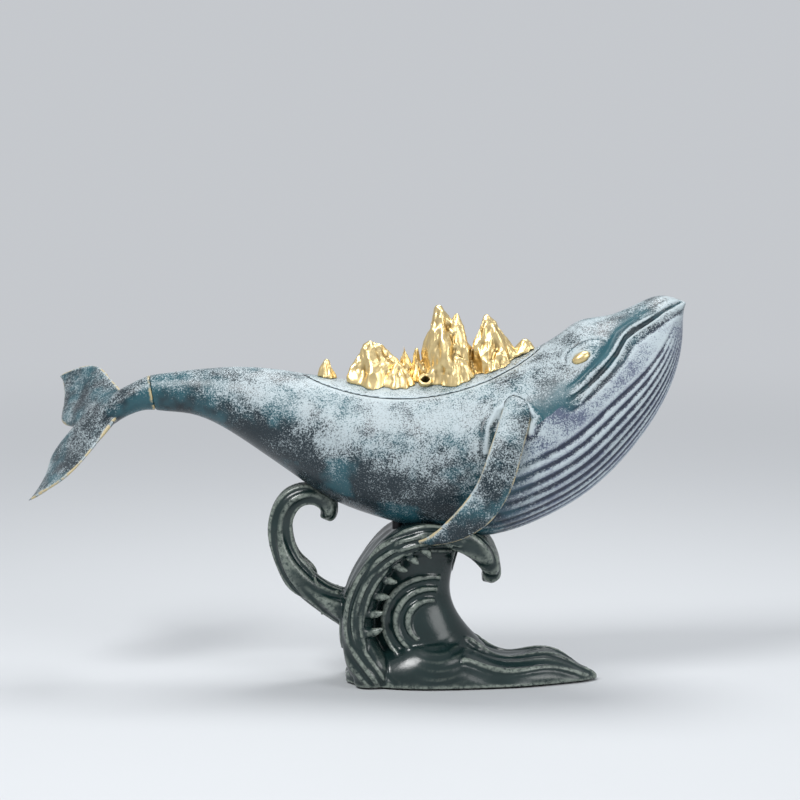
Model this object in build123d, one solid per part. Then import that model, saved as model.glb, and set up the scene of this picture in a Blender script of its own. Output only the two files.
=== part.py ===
"""Whale figurine that rides a breaking wave, with golden mountains on its back.

The mountain-topped back lifts off an incense chamber in the whale. The whale, its fins, the wave and the
lid are separate castings, joined by dowels and glue.

Lengths are in millimetres. +X points to the snout, -Y to the viewer's side and +Z up. The origin is on the
floor, under the middle of the wave's foot.
"""

import math
import os

from build123d import *

# Fits between pieces
GLUE_GAP = 0.2
SEAM_GAP = 0.3
TRAY_GAP = 0.5
DOWEL_FIT = 0.05

# Whale's body
BODY_LENGTH = 314.0
BODY_RISE = 142.0
BODY_WIDTH = 93.0
BELLY_X = 6.0
BELLY_HEIGHT = 87.0
PLEAT_DEPTH = 1.5
PLEAT_COUNT = 20
PLEAT_FROM_ANGLE = 95.0
BACK_POINTS = 16
PLEAT_POINTS = 5
SEAT_POINTS = 24

# Ribs of the body from the tail joint to the snout, each with its back point and its belly point, in shares
# of the body's length ahead of the belly's lowest point and of its rise above that point, then its
# half width, how much its widest place drops below its middle, and the pleats' depth
RIB_SHARES = [
    (-0.618, 0.669, -0.607, 0.524, 0.185, 0.0, 0.0),
    (-0.552, 0.688, -0.543, 0.509, 0.237, 0.0, 0.0),
    (-0.478, 0.702, -0.483, 0.456, 0.344, 0.0, 0.0),
    (-0.403, 0.698, -0.416, 0.360, 0.473, 0.0, 0.0),
    (-0.328, 0.675, -0.352, 0.261, 0.602, 0.0, 0.0),
    (-0.244, 0.648, -0.285, 0.162, 0.731, 0.0, 0.0),
    (-0.150, 0.642, -0.202, 0.087, 0.849, 0.0, 0.0),
    (-0.066, 0.654, -0.105, 0.029, 0.935, 0.0, 0.0),
    (0.019, 0.700, 0.000, 0.000, 0.989, 0.02, 0.3),
    (0.084, 0.762, 0.112, 0.071, 1.000, 0.05, 0.8),
    (0.140, 0.828, 0.206, 0.195, 0.968, 0.10, 1.0),
    (0.187, 0.897, 0.281, 0.360, 0.882, 0.16, 1.0),
    (0.243, 0.921, 0.333, 0.526, 0.742, 0.20, 1.0),
    (0.300, 0.975, 0.365, 0.688, 0.570, 0.20, 0.9),
    (0.339, 1.000, 0.377, 0.832, 0.366, 0.15, 0.6),
    (0.367, 0.986, 0.378, 0.919, 0.172, 0.10, 0.2),
]
SNOUT_SHARE = (0.384, 0.971)

# Lid and incense chamber
SEAM_RADIUS = 138.0
SEAM_RIB_SHARE = 5.97
LID_DEPTH = 7.5
CHAMBER_LENGTH = 78.0
CHAMBER_WIDTH = 27.0
CHAMBER_DEPTH = 30.0
CHAMBER_AHEAD = 15.0
RIM_DEPTH = 5.0
RIM_WALL = 2.5
TRAY_WALL = 1.0
TRAY_HEIGHT = 14.0
FIBRE_THICKNESS = 4.0

# Eyes
EYE_RIB_SHARE = 10.62
EYE_ANGLE = 50.0
EYE_LENGTH = 11.0
EYE_HEIGHT = 6.5
EYE_DEPTH = 6.0
EYE_TILT = 30.0

# Face: raised lines on the skin, each through points with a place along the ribs and an angle from the back
MOUTH_RIB_SHARES = [
    (14.60, 47), (13.68, 55), (12.84, 54), (12.08, 54), (11.64, 64), (11.08, 71), (10.56, 73), (9.96, 72)
]
EYELID_RIB_SHARES = [(10.32, 46), (10.48, 41), (10.76, 41), (11.08, 44), (11.28, 50)]
LIP_DIAMETER = 3.6
LIP_ANGLE = 4.5
EYELID_DIAMETER = 2.4
SKIN_RIDGE_END_SHARE = 0.45

# Flippers: a path from the root inside the body to the tip, as shares of the flipper's length off the
# place where it leaves the skin, then the width and thickness there
FLIPPER_RIB_SHARE = 8.62
FLIPPER_ANGLE = 66.0
FLIPPER_LENGTH = 96.0
FLIPPER_WIDTH = 19.5
FLIPPER_THICKNESS = 8.0
FLIPPER_SHARES = [
    (0.020, 0.115, 0.094, 0.77, 1.00),
    (0.000, 0.000, 0.000, 0.90, 1.00),
    (-0.052, -0.089, -0.167, 0.95, 0.88),
    (-0.109, -0.120, -0.344, 1.00, 0.81),
    (-0.193, -0.125, -0.505, 1.00, 0.75),
    (-0.318, -0.115, -0.630, 0.85, 0.63),
    (-0.458, -0.094, -0.714, 0.51, 0.44),
    (-0.583, -0.068, -0.745, 0.13, 0.19),
]
FLIPPER_DOWEL_DIAMETER = 4.0
FLIPPER_DOWEL_LENGTH = 14.0

# Tail: the flukes lie in a plane that is rolled and swung about the tail joint. The blade's stations go from
# the middle to a tip, each with its distance out, its leading and trailing edge and its thickness. The stub's
# stations have a place off the tail joint, a width, a thickness and how far they have turned to that plane
TAIL_LENGTH = 70.0
FLUKE_ROOT_SHARE = (-0.45, 0.115, -0.21)
FLUKE_SPAN = 103.0
FLUKE_CHORD = 42.0
FLUKE_THICKNESS = 12.0
FLUKE_CURL = 5.0
FLUKE_BACK = Vector(-0.756, 0.469, -0.457)
FLUKE_NEAR = Vector(-0.121, -0.783, -0.611)
FLUKE_SHARES = [
    (0.00, -0.38, 0.49, 1.00),
    (0.20, -0.36, 0.78, 0.80),
    (0.48, -0.13, 0.86, 0.46),
    (0.74, 0.10, 0.88, 0.31),
    (0.90, 0.34, 0.93, 0.22),
    (0.97, 0.62, 0.98, 0.16),
    (1.00, 0.86, 1.00, 0.10),
]
STUB_SHARES = [
    (-0.234, 0.021, -0.081, 0.271, 0.229, 0.35),
    (-0.391, 0.086, -0.174, 0.400, 0.186, 0.80),
    (-0.506, 0.150, -0.239, 0.457, 0.129, 1.00),
]
TAIL_DOWEL_DIAMETER = 4.0
TAIL_DOWEL_LENGTH = 22.0

# Mountains: peaks given by their middle and summit, as shares of the range's length from the lid's middle, of
# its width and of its height above the lid's lowest skin, then half lengths and widths at the foot
RANGE_LENGTH = 116.0
RANGE_WIDTH = 34.0
RANGE_HEIGHT = 45.0
PEAK_FOLDS = 7
PEAK_LEVEL_SHARES = [(0.00, 1.00), (0.28, 0.84), (0.52, 0.66), (0.76, 0.43), (0.92, 0.22), (1.00, 0.07)]
PEAK_FOLD_SHARE = 0.09
PEAK_LUMP_SHARE = 1.2
PEAK_ROOT_DEPTH = 9.0
PEAK_SHARES = {
    "rear": (-0.085, 0.00, -0.135, 0.02, 0.54, 0.180, 0.46),
    "rear_shoulder": (0.005, -0.26, -0.005, -0.25, 0.26, 0.095, 0.24),
    "far_knoll": (0.028, 0.14, 0.028, 0.14, 0.46, 0.048, 0.17),
    "near_knoll": (0.092, 0.02, 0.089, 0.02, 0.44, 0.050, 0.20),
    "main": (0.265, 0.00, 0.203, 0.02, 1.00, 0.160, 0.46),
    "main_shoulder": (0.300, -0.05, 0.290, -0.05, 0.90, 0.110, 0.32),
    "main_foot": (0.310, -0.32, 0.290, -0.30, 0.40, 0.100, 0.20),
    "front": (0.505, 0.00, 0.445, 0.02, 0.87, 0.130, 0.38),
    "front_foot": (0.520, -0.20, 0.500, -0.20, 0.45, 0.085, 0.20),
    "front_ridge": (0.630, 0.00, 0.640, 0.02, 0.53, 0.090, 0.20),
}
PEG_PEAKS = ("rear", "main")
ISLET_SHARES = (-0.365, 0.00, -0.362, 0.00, 0.29, 0.062, 0.20)
PEG_DIAMETER = 4.0
PEG_LENGTH = 3.5
ISLET_PEG_DIAMETER = 2.5
ISLET_PEG_LENGTH = 1.5
VENT_DIAMETER = 5.0
VENT_WALL = 1.6
VENT_REACH = 20.0
VENT_SHARE = (0.135, -0.35, 0.07)
VENT_TILT = 48.0

# Wave: paths and sections as shares of its length, width and the belly's height
WAVE_LENGTH = 148.0
WAVE_WIDTH = 60.0
FELT_THICKNESS = 1.0
FELT_SHARE = 0.94
CREST_THICKNESS = 19.0
CREST_SHARES = [
    (-0.385, 0.000, 1.10, 1.00),
    (-0.445, 0.301, 1.05, 0.90),
    (-0.441, 0.537, 1.00, 0.83),
    (-0.389, 0.761, 0.95, 0.83),
    (-0.306, 0.936, 0.87, 0.90),
    (-0.191, 1.038, 0.80, 1.00),
    (-0.072, 1.031, 0.74, 1.00),
    (0.032, 0.936, 0.68, 0.90),
    (0.083, 0.801, 0.55, 0.67),
    (0.068, 0.693, 0.30, 0.33),
]
SCROLL_THICKNESS = 16.0
SCROLL_SHARES = [
    (-0.440, 0.480, 1.45, 0.72),
    (-0.556, 0.551, 1.10, 0.56),
    (-0.651, 0.666, 0.98, 0.47),
    (-0.719, 0.815, 0.91, 0.42),
    (-0.751, 0.977, 0.82, 0.38),
    (-0.747, 1.145, 0.80, 0.36),
    (-0.703, 1.252, 0.73, 0.35),
    (-0.644, 1.287, 0.67, 0.33),
    (-0.588, 1.260, 0.66, 0.31),
    (-0.560, 1.180, 0.60, 0.26),
    (-0.576, 1.112, 0.38, 0.14),
]
FOOT_HEIGHT = 31.0
FOOT_SHARES = [
    (-0.495, 0.13, 0.40),
    (-0.420, 0.52, 0.83),
    (-0.236, 0.97, 1.13),
    (-0.034, 0.87, 1.10),
    (0.101, 0.52, 1.00),
    (0.216, 0.50, 0.87),
    (0.304, 0.55, 0.70),
    (0.392, 0.39, 0.50),
    (0.473, 0.19, 0.27),
    (0.510, 0.06, 0.08),
]
FOOT_ARCH_SHARES = [(-1.0, 0.0), (-0.72, 0.70), (0.0, 1.0), (0.72, 0.70), (1.0, 0.0)]
COLUMN_SHARES = [
    (0.09, -0.169, 0.270, 0.93),
    (0.34, -0.196, 0.203, 0.70),
    (0.57, -0.243, 0.169, 0.57),
    (0.78, -0.223, 0.155, 0.53),
    (1.01, -0.189, 0.149, 0.57),
]
CLAW_LENGTH = 10.0
CLAW_DIAMETER = 6.5
CLAW_SHARES = [(0.0, 0.0, 1.0), (0.55, 0.05, 0.72), (0.95, 0.25, 0.25)]
CLAW_COUNT = 7
CLAW_FROM_SHARE = 1.3
CLAW_TO_SHARE = 5.0
SWIRL_CENTRE_SHARE = (-0.165, 0.44)
SWIRL_RADII = (12.0, 19.0, 26.0)
SWIRL_DIAMETER = 5.0
SWIRL_SINK = 0.6
SWIRL_FROM_ANGLE = 75.0
SWIRL_TO_ANGLE = 240.0
SWIRL_POINTS = 9
FLOW_DIAMETER = 5.0
FLOW_ACROSS_SHARES = (-0.75, -0.25, 0.25)
FLOW_FROM_SHARE = 0.6
FLOW_TO_SHARE = 6.4
FLOW_POINTS = 9
TONGUE_DIAMETER = 4.5
TONGUE_ARCH_SHARES = [(0.35, 0.93), (0.80, 0.56)]
SCROLL_RIDGE_DIAMETER = 4.0
SCROLL_RIDGE_ANGLES = (35.0, 145.0)
EDGE_ROUND_SHARE = 0.45
SUPPORT_DOWEL_DIAMETER = 8.0
SUPPORT_DOWEL_LENGTH = 46.0
SUPPORT_DOWEL_SPACING = 20.0
SUPPORT_X_SHARE = -0.216


def share_point(x_share, z_share, y=0.0):
    """Point given in shares of the whale's length and rise about the belly's lowest point."""
    return Vector(BELLY_X + x_share * BODY_LENGTH, y, BELLY_HEIGHT + z_share * BODY_RISE)


def wave_point(x_share, z_share, y=0.0):
    """Point given in shares of the wave's length and of the belly's height above the floor."""
    return Vector(x_share * WAVE_LENGTH, y, z_share * BELLY_HEIGHT)


def between(rows, position):
    """Row of a table at a place between two of its rows, on the straight line between them."""
    index = min(int(position), len(rows) - 2)
    part = position - index
    return [a + (b - a) * part for a, b in zip(rows[index], rows[index + 1])]


def mirrored(shape):
    return mirror(shape, about=Plane.XZ)


def tangents(points):
    """Direction of a path at each of its points."""
    ends = [points[0], *points, points[-1]]
    return [(ends[i + 2] - ends[i]).normalized() for i in range(len(points))]


def strand(points, widths, depths, across=Vector(0, 1, 0), squared=False):
    """Loft along a path. Width is measured in the path's own bend, depth along the across direction."""
    sections = []
    for point, tangent, width, depth in zip(points, tangents(points), widths, depths):
        plane = Plane(point, x_dir=across - tangent * across.dot(tangent), z_dir=tangent)
        if squared:
            section = RectangleRounded(depth, width, min(width, depth) * EDGE_ROUND_SHARE)
        else:
            section = Ellipse(depth / 2, width / 2)
        sections.append(plane * section)
    return loft(sections)


def cylinder_between(start, end, diameter):
    """Round bar from one point to another."""
    return extrude(Plane(start, z_dir=end - start) * Circle(diameter / 2), (end - start).length)


def slot(length, width, middle, bottom, top):
    """Upright prism with round ends, long along X."""
    return Pos(middle, 0, bottom) * extrude(SlotOverall(length, width), top - bottom)


# Whale


def pleat_groove(angle):
    """How deep a pleat is at an angle from the back, from 0 on a ridge to 1 in a groove."""
    from_belly = abs(math.degrees(angle) - 180.0)
    zone = 180.0 - PLEAT_FROM_ANGLE
    if from_belly > zone:
        return 0.0
    return (1 - math.cos(math.pi * PLEAT_COUNT * (zone - from_belly) / zone)) / 2


def rib_point(rib, angle, grow=0.0):
    """Point on a rib's outline. Angle 0 is the back, a quarter turn is the viewer's side."""
    back, belly = share_point(*rib[0:2]), share_point(*rib[2:4])
    middle = (back + belly) / 2
    up = (back - belly) / 2
    inset = PLEAT_DEPTH * rib[6] * pleat_groove(angle) - grow
    half_width = BODY_WIDTH / 2 * rib[4] - inset
    sideways = half_width * math.sin(angle) * (1 - rib[5] * math.cos(angle))
    return middle + up * (math.cos(angle) * (1 - inset / up.length)) - Vector(0, sideways, 0)


def rib_angles():
    """Angles of a rib's outline points in its three runs: over the back, then the pleats of each side."""
    start = math.radians(PLEAT_FROM_ANGLE)
    steps = PLEAT_COUNT // 2 * PLEAT_POINTS
    back = [start * (2 * i / BACK_POINTS - 1) for i in range(BACK_POINTS + 1)]
    near = [start + (math.pi - start) * i / steps for i in range(steps + 1)]
    far = [2 * math.pi - angle for angle in reversed(near)]
    return back, near, far


def rib_run(rib, angles):
    """Part of a rib's outline. Evenly placed points let the ribs of the loft match."""
    points = [rib_point(rib, angle) for angle in angles]
    places = [i / (len(points) - 1) for i in range(len(points))]
    return Edge.make_spline(points, parameters=places)


def rib_face(rib):
    return Face(Wire([rib_run(rib, angles) for angles in rib_angles()]))


def closed_face(points):
    """Face inside a smooth closed curve through points. Evenly placed points let the curves of a loft match."""
    places = [i / len(points) for i in range(len(points) + 1)]
    return Face(Wire([Edge.make_spline(points, periodic=True, parameters=places)]))


def whale_form():
    """Whole outer form of the whale from the tail joint to the snout."""
    return loft([*[rib_face(rib) for rib in RIB_SHARES], Vertex(*share_point(*SNOUT_SHARE))])


def seat_form(grow):
    """The whale's form without pleats and grown by a margin, to cut seats in the pieces that rest on it."""
    angles = [2 * math.pi * i / SEAT_POINTS for i in range(SEAT_POINTS)]
    ribs = []
    for rib in RIB_SHARES:
        smooth = (*rib[0:6], 0.0)
        ribs.append(closed_face([rib_point(smooth, angle, grow) for angle in angles]))
    return loft(ribs)


def back_point(position):
    """Point on the line of the back, at a place along the ribs."""
    return share_point(*between(RIB_SHARES, position)[0:2])


def back_height(x):
    """Height of the back's line at an X."""
    places = [back_point(i) for i in range(len(RIB_SHARES))]
    for low, high in zip(places, places[1:]):
        if low.X <= x <= high.X:
            return low.Z + (high.Z - low.Z) * (x - low.X) / (high.X - low.X)
    return places[-1].Z


SEAM_BOTTOM = back_point(SEAM_RIB_SHARE) - Vector(0, 0, LID_DEPTH)
CHAMBER_X = SEAM_BOTTOM.X + CHAMBER_AHEAD
CHAMBER_FLOOR = SEAM_BOTTOM.Z - CHAMBER_DEPTH


def seam_roller(radius):
    """Round bar across the whale whose underside is the seam between body and lid."""
    axis = Plane(SEAM_BOTTOM + Vector(0, 0, SEAM_RADIUS), z_dir=(0, 1, 0))
    return extrude(axis * Circle(radius), BODY_WIDTH, both=True)


def flipper(grow=0.0):
    """Flipper on the viewer's side, grown by a margin."""
    root = rib_point(between(RIB_SHARES, FLIPPER_RIB_SHARE), math.radians(FLIPPER_ANGLE))
    points = [root + Vector(*row[0:3]) * FLIPPER_LENGTH for row in FLIPPER_SHARES]
    widths = [row[3] * FLIPPER_WIDTH + 2 * grow for row in FLIPPER_SHARES]
    thicknesses = [row[4] * FLIPPER_THICKNESS + 2 * grow for row in FLIPPER_SHARES]
    return strand(points, thicknesses, widths, across=Vector(1, 0, 0))


def flipper_dowel(fit=0.0):
    """Dowel through a flipper's root into the body."""
    root = rib_point(between(RIB_SHARES, FLIPPER_RIB_SHARE), math.radians(FLIPPER_ANGLE))
    root_end = root + Vector(*FLIPPER_SHARES[0][0:3]) * FLIPPER_LENGTH
    half = (root_end - root).normalized() * (FLIPPER_DOWEL_LENGTH / 2 + fit)
    return cylinder_between(root_end - half, root_end + half, FLIPPER_DOWEL_DIAMETER + 2 * fit)


def eye(grow=0.0):
    """Lens-shaped eye on the viewer's side, half sunk in the head."""
    rib = between(RIB_SHARES, EYE_RIB_SHARE)
    angle = math.radians(EYE_ANGLE)
    place = rib_point(rib, angle)
    along = Vector(1, 0, 0).rotate(Axis.Y, -EYE_TILT)
    step = math.radians(1)
    down = rib_point(rib, angle + step) - rib_point(rib, angle - step)
    plane = Plane(place, x_dir=along, z_dir=along.cross(down))
    size = (EYE_LENGTH / 2 + grow, EYE_HEIGHT / 2 + grow, EYE_DEPTH / 2 + grow)
    return plane * scale(Sphere(1), by=size)


def skin_ridge(rows, diameter, turn=0.0):
    """Rounded line on the skin that sinks a quarter of its diameter into it, with thinner ends."""
    points, sizes = [], []
    for i, (place, angle) in enumerate(rows):
        rib = between(RIB_SHARES, place)
        points.append(rib_point(rib, math.radians(angle + turn), -diameter / 4))
        end = i in (0, len(rows) - 1)
        sizes.append(diameter * (SKIN_RIDGE_END_SHARE if end else 1))
    return strand(points, sizes, sizes)


def face_ridges():
    """Both lips and the eyelid, on both sides."""
    near = [
        skin_ridge(MOUTH_RIB_SHARES, LIP_DIAMETER, -LIP_ANGLE),
        skin_ridge(MOUTH_RIB_SHARES, LIP_DIAMETER, LIP_ANGLE),
        skin_ridge(EYELID_RIB_SHARES, EYELID_DIAMETER),
    ]
    return near + [mirrored(ridge) for ridge in near]


def tail_plane():
    """Plane of the tail joint, looking out of the body."""
    back, belly = share_point(*RIB_SHARES[0][0:2]), share_point(*RIB_SHARES[0][2:4])
    up = (back - belly).normalized()
    return Plane((back + belly) / 2, x_dir=(0, 1, 0), z_dir=up.cross(Vector(0, 1, 0)))


def tail_dowel(fit=0.0):
    joint = tail_plane()
    half = joint.z_dir * (TAIL_DOWEL_LENGTH / 2 + fit)
    return cylinder_between(joint.origin - half, joint.origin + half, TAIL_DOWEL_DIAMETER + 2 * fit)


def fluke_point(out_share, back_share, lift=0.0):
    """Point of the flukes' plane, with its distance out to the viewer's side and back from the root."""
    root = tail_plane().origin + Vector(*FLUKE_ROOT_SHARE) * TAIL_LENGTH
    normal = FLUKE_BACK.cross(FLUKE_NEAR)
    out = FLUKE_NEAR * (out_share * FLUKE_SPAN / 2)
    return root + out + FLUKE_BACK * (back_share * FLUKE_CHORD) + normal * lift


def fluke_section(row, side):
    """Leaf-shaped section across a fluke."""
    out_share, lead, trail, thick = row
    lift = FLUKE_CURL * out_share ** 2
    middle = fluke_point(side * out_share, (lead + trail) / 2, lift)
    plane = Plane(middle, x_dir=FLUKE_BACK, z_dir=FLUKE_NEAR)
    return plane * Ellipse((trail - lead) * FLUKE_CHORD / 2, thick * FLUKE_THICKNESS / 2)


def tail_stub():
    """Stub from the tail joint's outline, turning into the flukes' plane."""
    joint = tail_plane()
    height = (share_point(*RIB_SHARES[0][0:2]) - share_point(*RIB_SHARES[0][2:4])).length
    first = joint.offset(GLUE_GAP) * Ellipse(BODY_WIDTH / 2 * RIB_SHARES[0][4], height / 2)
    sections = [first]
    for x, y, z, width, thickness, turn in STUB_SHARES:
        across = joint.x_dir * (1 - turn) - FLUKE_NEAR * turn
        out = joint.z_dir * (1 - turn) + FLUKE_BACK * turn
        plane = Plane(joint.origin + Vector(x, y, z) * TAIL_LENGTH, x_dir=across, z_dir=out)
        sections.append(plane * Ellipse(width * TAIL_LENGTH / 2, thickness * TAIL_LENGTH / 2))
    return loft(sections)


def tail_fluke():
    """Tail casting: a stub and both flukes."""
    far = [fluke_section(row, -1) for row in reversed(FLUKE_SHARES[1:])]
    near = [fluke_section(row, 1) for row in FLUKE_SHARES]
    return tail_stub() + loft(far + near) - tail_dowel(DOWEL_FIT)


def support_dowel(index, fit=0.0):
    """Upright dowel that carries the whale on the wave."""
    x = SUPPORT_X_SHARE * WAVE_LENGTH + (index - 0.5) * SUPPORT_DOWEL_SPACING
    half = Vector(0, 0, SUPPORT_DOWEL_LENGTH / 2 + fit)
    middle = Vector(x, 0, BELLY_HEIGHT)
    return cylinder_between(middle - half, middle + half, SUPPORT_DOWEL_DIAMETER + 2 * fit)


def whale_body(form):
    """Main casting with the lid's seat, the incense chamber and the sockets of fins, eyes and dowels."""
    top = SEAM_BOTTOM.Z + SEAM_RADIUS
    cutters = [
        seam_roller(SEAM_RADIUS),
        slot(CHAMBER_LENGTH, CHAMBER_WIDTH, CHAMBER_X, CHAMBER_FLOOR, top),
        tail_dowel(DOWEL_FIT),
    ]
    for socket in (flipper(GLUE_GAP), flipper_dowel(DOWEL_FIT), eye(GLUE_GAP)):
        cutters += [socket, mirrored(socket)]
    cutters += [support_dowel(index, DOWEL_FIT) for index in range(2)]
    return form + face_ridges() - cutters


def burner_tray():
    """Steel tray on the chamber's floor."""
    length, width = CHAMBER_LENGTH - 2 * TRAY_GAP, CHAMBER_WIDTH - 2 * TRAY_GAP
    top = CHAMBER_FLOOR + TRAY_HEIGHT
    outside = slot(length, width, CHAMBER_X, CHAMBER_FLOOR, top)
    inside = slot(length - 2 * TRAY_WALL, width - 2 * TRAY_WALL, CHAMBER_X, CHAMBER_FLOOR + TRAY_WALL, top)
    return outside - inside


def fibre_pad():
    """Heat-proof pad in the tray that the incense lies on."""
    inset = 2 * (TRAY_GAP + TRAY_WALL + GLUE_GAP)
    bottom = CHAMBER_FLOOR + TRAY_WALL
    return slot(CHAMBER_LENGTH - inset, CHAMBER_WIDTH - inset, CHAMBER_X, bottom, bottom + FIBRE_THICKNESS)


# Lid


def peak_place(x_share, y_share, height):
    return Vector(SEAM_BOTTOM.X + x_share * RANGE_LENGTH, y_share * RANGE_WIDTH, height)


def peak(row, seed):
    """One fluted peak that leans from its foot to its summit."""
    x, y, summit_x, summit_y, summit, half_length, half_width = row
    foot = peak_place(x, y, 0)
    foot += Vector(0, 0, back_height(foot.X) - PEAK_ROOT_DEPTH)
    tip = peak_place(summit_x, summit_y, SEAM_BOTTOM.Z + LID_DEPTH + summit * RANGE_HEIGHT)
    sections = []
    for level, spread in PEAK_LEVEL_SHARES:
        middle = foot + (tip - foot) * level
        points = []
        for i in range(4 * PEAK_FOLDS):
            angle = 2 * math.pi * i / (4 * PEAK_FOLDS)
            fold = math.cos(PEAK_FOLDS * angle + seed) + PEAK_LUMP_SHARE * math.sin(2 * angle + seed + level)
            radius = spread * (1 + PEAK_FOLD_SHARE * fold)
            out = Vector(half_length * RANGE_LENGTH * math.cos(angle), half_width * RANGE_WIDTH * math.sin(angle), 0)
            points.append(middle + out * radius)
        sections.append(closed_face(points))
    return loft(sections)


def vent(wall=0.0, outward=VENT_REACH):
    """Slanting smoke hole from the front of the mountains to the chamber, or the rock round it."""
    x, y, z = VENT_SHARE
    mouth = peak_place(x, y, SEAM_BOTTOM.Z + LID_DEPTH + z * RANGE_HEIGHT)
    tilt = math.radians(VENT_TILT)
    inward = Vector(0, math.cos(tilt), -math.sin(tilt))
    return cylinder_between(mouth - inward * outward, mouth + inward * VENT_REACH, VENT_DIAMETER + 2 * wall)


def peg(row, diameter, length, fit=0.0):
    """Peg under a peak that locates it in the lid."""
    foot = peak_place(row[0], 0, 0)
    skin = back_height(foot.X)
    bottom = foot + Vector(0, 0, skin - length - fit)
    return cylinder_between(bottom, foot + Vector(0, 0, skin + length), diameter + 2 * fit)


def range_pegs(fit=0.0):
    return [peg(PEAK_SHARES[name], PEG_DIAMETER, PEG_LENGTH, fit) for name in PEG_PEAKS]


def islet_peg(fit=0.0):
    return peg(ISLET_SHARES, ISLET_PEG_DIAMETER, ISLET_PEG_LENGTH, fit)


def mountain_range(seat):
    peaks = [peak(row, seed) for seed, row in enumerate(PEAK_SHARES.values())]
    return (vent(VENT_WALL, 0.0) + peaks) - seat + range_pegs() - vent()


def islet_peak(seat):
    return peak(ISLET_SHARES, 1) - seat + islet_peg()


def back_lid(form):
    """Lid cut from the whale's back, with a rim that drops into the chamber."""
    roller = seam_roller(SEAM_RADIUS - SEAM_GAP)
    length, width = CHAMBER_LENGTH - 2 * SEAM_GAP, CHAMBER_WIDTH - 2 * SEAM_GAP
    bottom, top = SEAM_BOTTOM.Z - RIM_DEPTH, SEAM_BOTTOM.Z + SEAM_RADIUS
    rim = slot(length, width, CHAMBER_X, bottom, top)
    rim -= slot(length - 2 * RIM_WALL, width - 2 * RIM_WALL, CHAMBER_X, bottom, top)
    lid = (form & roller) + (rim - roller)
    return lid - [*range_pegs(GLUE_GAP), islet_peg(GLUE_GAP), vent()]


# Wave


def crest_at(position):
    """Place, direction of travel, thickness and half depth of the crest at a place along its rows."""
    points = [wave_point(*row[0:2]) for row in CREST_SHARES]
    ways = tangents(points)
    index = min(int(position), len(points) - 2)
    part = position - index
    place = points[index] + (points[index + 1] - points[index]) * part
    way = ways[index] + (ways[index + 1] - ways[index]) * part
    row = between(CREST_SHARES, position)
    return place, way.normalized(), row[2] * CREST_THICKNESS, row[3] * WAVE_WIDTH / 2


def band(rows, thickness, squared):
    """Band of water along a path in the middle plane."""
    points = [wave_point(*row[0:2]) for row in rows]
    widths = [row[2] * thickness for row in rows]
    depths = [row[3] * WAVE_WIDTH for row in rows]
    return strand(points, widths, depths, squared=squared)


def wave_foot():
    """Spreading water at the foot, flat underneath."""
    sections = []
    for x, height, half_width in FOOT_SHARES:
        rise, reach = height * FOOT_HEIGHT, half_width * WAVE_WIDTH / 2
        points = [(a * reach, b * rise) for a, b in FOOT_ARCH_SHARES]
        arch = Spline(*points) + Line(points[-1], points[0])
        plane = Plane((x * WAVE_LENGTH, 0, FELT_THICKNESS), x_dir=(0, 1, 0), z_dir=(1, 0, 0))
        sections.append(plane * make_face(arch))
    return loft(sections)


def wave_column():
    """Upright water under the crest."""
    sections = []
    for z, x, half_length, half_width in COLUMN_SHARES:
        plane = Plane((x * WAVE_LENGTH, 0, z * BELLY_HEIGHT))
        sections.append(plane * Ellipse(half_length * WAVE_LENGTH, half_width * WAVE_WIDTH / 2))
    return loft(sections)


def column_depth(x, z):
    """Half depth of the upright water at a place seen from the side."""
    heights = [row[0] * BELLY_HEIGHT for row in COLUMN_SHARES]
    position = 0.0
    for i in range(len(heights) - 1):
        if heights[i] <= z:
            position = i + (z - heights[i]) / (heights[i + 1] - heights[i])
    _, middle, half_length, half_width = between(COLUMN_SHARES, min(position, len(heights) - 1))
    off = (x / WAVE_LENGTH - middle) / half_length
    return half_width * WAVE_WIDTH / 2 * math.sqrt(max(1 - off * off, 0.05))


def claw(position, side):
    """Hooked foam finger on the inner rim of the crest."""
    place, way, thickness, half_depth = crest_at(position)
    inward = Vector(way.Z, 0, -way.X)
    root = place + inward * (thickness * 0.25) + Vector(0, side * (half_depth - CLAW_DIAMETER / 2), 0)
    outward = Vector(0, side, 0)
    points, sizes = [], []
    for reach, hook, size in CLAW_SHARES:
        points.append(root + (inward * reach + (way + outward) * hook) * CLAW_LENGTH)
        sizes.append(size * CLAW_DIAMETER)
    return strand(points, sizes, sizes)


def swirl(radius, side):
    """Curved ridge on the upright water."""
    middle = wave_point(*SWIRL_CENTRE_SHARE)
    points, sizes = [], []
    for i in range(SWIRL_POINTS):
        part = i / (SWIRL_POINTS - 1)
        angle = math.radians(SWIRL_FROM_ANGLE + (SWIRL_TO_ANGLE - SWIRL_FROM_ANGLE) * part)
        x, z = middle.X + radius * math.cos(angle), middle.Z + radius * math.sin(angle)
        points.append(Vector(x, side * (column_depth(x, z) - SWIRL_SINK), z))
        sizes.append(SWIRL_DIAMETER * (0.35 + 0.65 * math.sin(math.pi * (0.1 + 0.8 * part))))
    return strand(points, sizes, sizes)


def flow(across_share, side):
    """Ridge along the side of the crest."""
    points, sizes = [], []
    for i in range(FLOW_POINTS):
        part = i / (FLOW_POINTS - 1)
        place, way, thickness, half_depth = crest_at(FLOW_FROM_SHARE + (FLOW_TO_SHARE - FLOW_FROM_SHARE) * part)
        across = across_share * thickness / 2
        round_edge = EDGE_ROUND_SHARE * thickness
        past_flat = max(abs(across) - (thickness / 2 - round_edge), 0)
        fall = round_edge - math.sqrt(round_edge ** 2 - past_flat ** 2)
        points.append(place + Vector(way.Z, 0, -way.X) * across + Vector(0, side * (half_depth - fall), 0))
        sizes.append(FLOW_DIAMETER * (0.4 + 0.6 * math.sin(math.pi * part)))
    return strand(points, sizes, sizes)


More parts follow.
